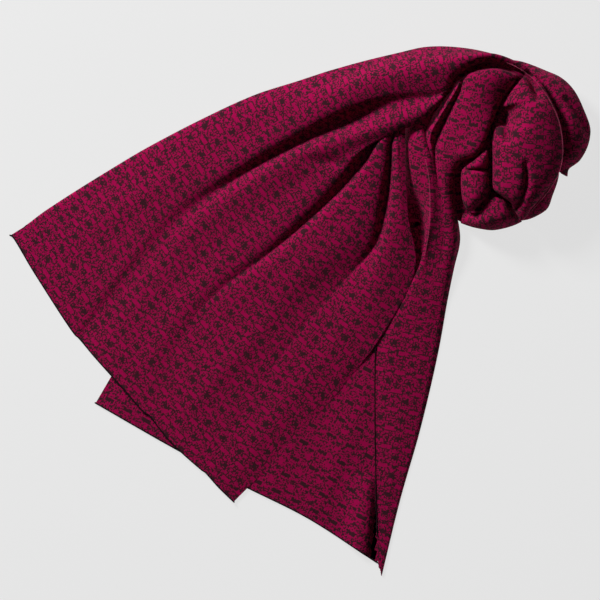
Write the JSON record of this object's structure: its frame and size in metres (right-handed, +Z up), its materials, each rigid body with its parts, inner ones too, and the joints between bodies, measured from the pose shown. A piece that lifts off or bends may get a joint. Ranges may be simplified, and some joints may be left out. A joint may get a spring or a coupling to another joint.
{
  "type": "knitted scarf",
  "caption": "jacquard knitted scarf lying on a surface, its two tails fanned one over the other and its middle heaped in a loose knot",
  "frame": {"origin": "on the surface that the scarf lies on, under the middle of its bounding box", "axes": "+Z is up from the surface, +Y points away from the open ends and towards the knot's top, +X points towards the knot's side"},
  "size_m": [0.5808, 0.5296, 0.0652],
  "materials": {
    "jacquard_face": "fine double knit, crimson figures on near black",
    "jacquard_reverse": "the same knit from behind, its two colours changed over",
    "dark_edging": "near-black cast-off edge"
  },
  "bodies": {
    "root": {"upper_tail": "jacquard_face", "upper_end_edging": "dark_edging", "under_tail": "jacquard_reverse", "under_end_edging": "dark_edging", "turned_strip": "jacquard_face", "knot_front_loop": "jacquard_face", "knot_tongue": "jacquard_face", "knot_outer_roll": "jacquard_face", "knot_side_roll": "jacquard_face", "knot_lower_roll": "jacquard_face", "knot_core": "jacquard_reverse"}
  },
  "joints": []
}
